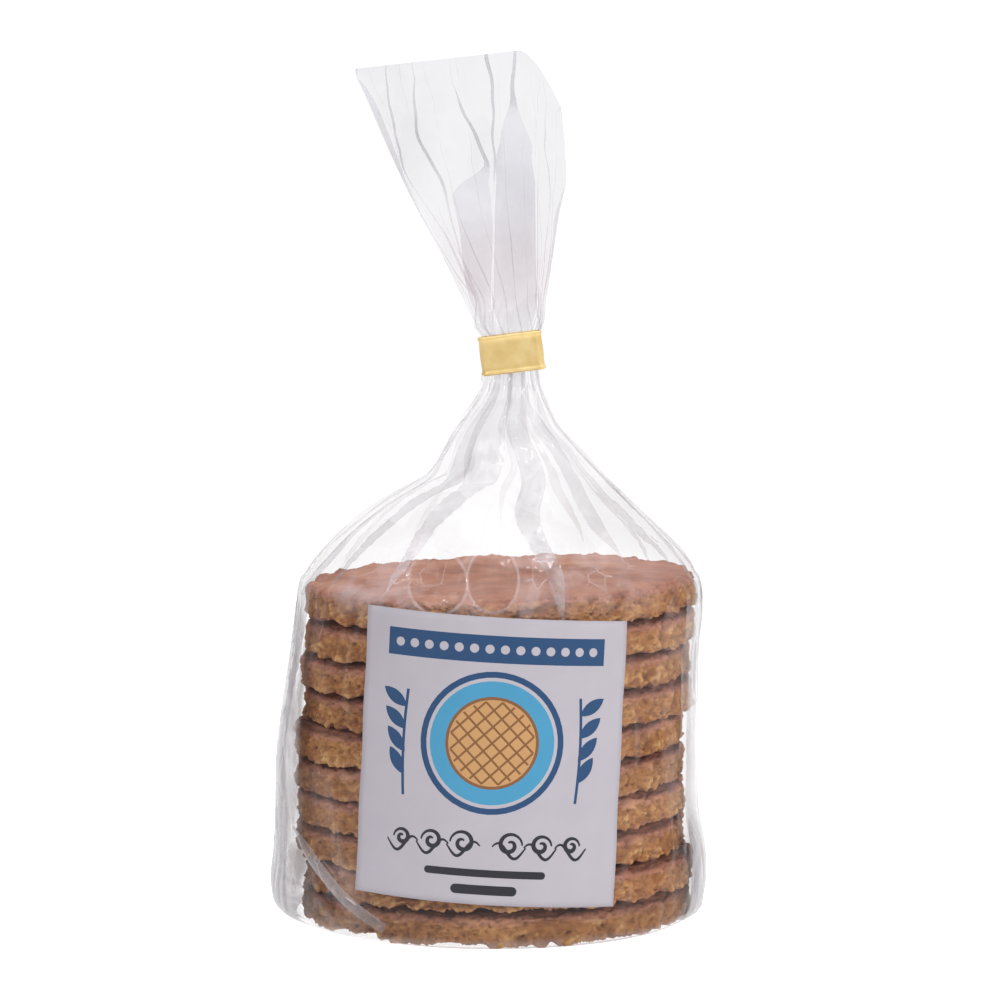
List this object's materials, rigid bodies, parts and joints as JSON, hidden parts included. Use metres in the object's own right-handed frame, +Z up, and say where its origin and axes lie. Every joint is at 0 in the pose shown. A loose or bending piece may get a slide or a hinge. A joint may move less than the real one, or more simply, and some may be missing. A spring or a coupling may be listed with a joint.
{
  "type": "bagged stack of stroopwafels",
  "caption": "Upright stack of round syrup waffles in a clear film bag, gathered and tied at the neck with a flat gold strip, with a square paper label on the front.",
  "frame": {"origin": "middle of the pack's bounding box, on the surface that it stands on", "axes": "+Z up along the stack, from the floor to the bag's mouth; the label faces -Y; +X to the right as seen from the label's side"},
  "size_m": [0.091, 0.0854, 0.1777],
  "materials": {
    "film": "clear glossy film over golden-brown waffles",
    "paper": "smooth coated paper",
    "gold_strip": "satin gold film over paper",
    "waffle": "rough golden-brown baked crumb with darker faces, inside the bag",
    "syrup": "dark caramel syrup between each waffle's halves, inside the bag"
  },
  "bodies": {
    "root": {"bag": "film", "label": "paper", "tie": "gold_strip"}
  },
  "joints": []
}
